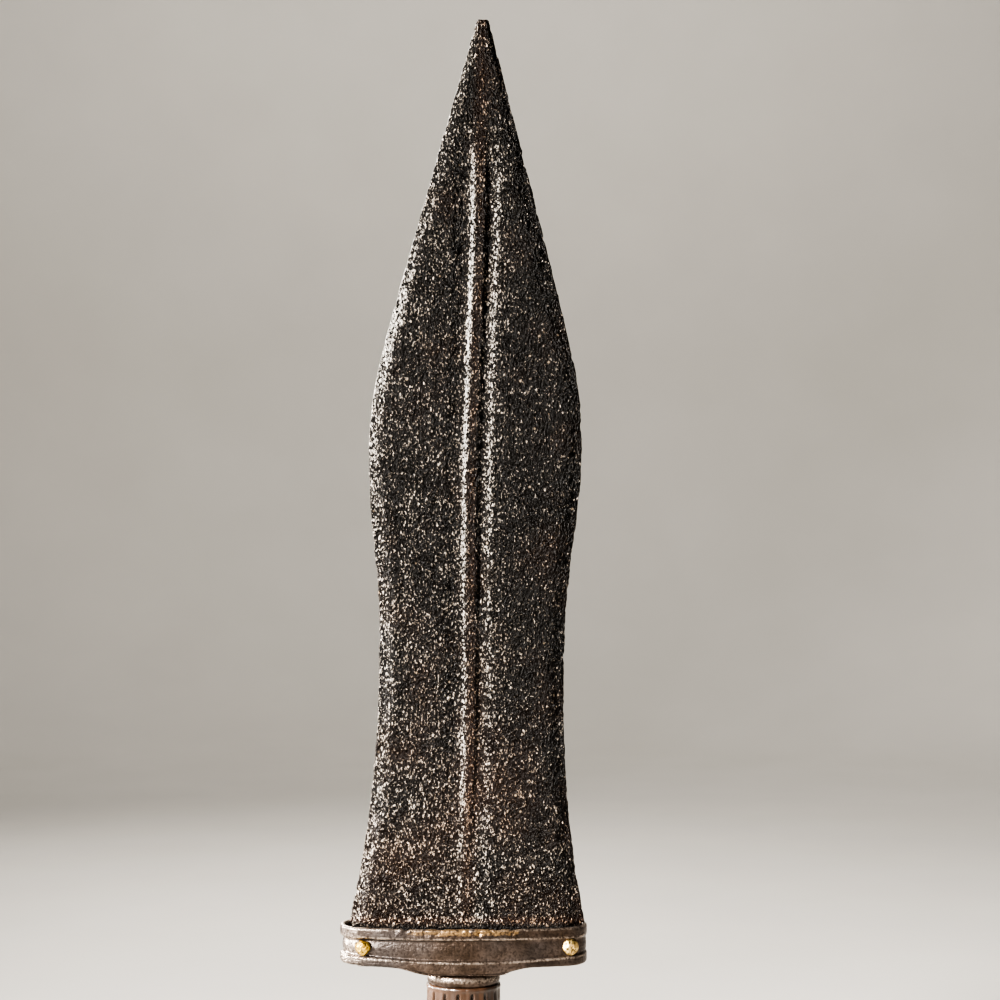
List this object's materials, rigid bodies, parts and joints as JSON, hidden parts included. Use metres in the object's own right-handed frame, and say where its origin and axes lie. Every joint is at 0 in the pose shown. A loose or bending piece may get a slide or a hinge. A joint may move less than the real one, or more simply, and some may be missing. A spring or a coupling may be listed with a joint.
{
  "type": "leaf-bladed short sword",
  "caption": "Waisted leaf-bladed iron short sword with a hollow boat-shaped bronze guard riveted to the blade, bead collars, fluted grip and oval pommel.",
  "frame": {"origin": "centre of the pommel's flat end", "axes": "+Z runs along the grip and blade to the point; -Y is the front face, where the picture looks; +X is to the right in that view"},
  "size_m": [0.089, 0.033, 0.466],
  "materials": {
    "iron": "deeply pitted, dark brown",
    "bronze": "brown patina, rubbed bright along the edges",
    "rivet_brass": "hammered, bright",
    "pitch": "dull, dark brown",
    "leather": "dry, dark brown",
    "grip_wood": "oiled, worn"
  },
  "bodies": {
    "root": {"blade": "iron", "guard": "bronze", "packing_front": "pitch", "packing_back": "pitch", "rivet_left": "rivet_brass", "rivet_right": "rivet_brass", "guard_washer": "leather", "upper_collar": "bronze", "grip": "grip_wood", "tang_bedding": "pitch", "lower_collar": "bronze", "pommel_washer": "leather", "pommel": "bronze", "peen_washer": "iron"}
  },
  "joints": []
}
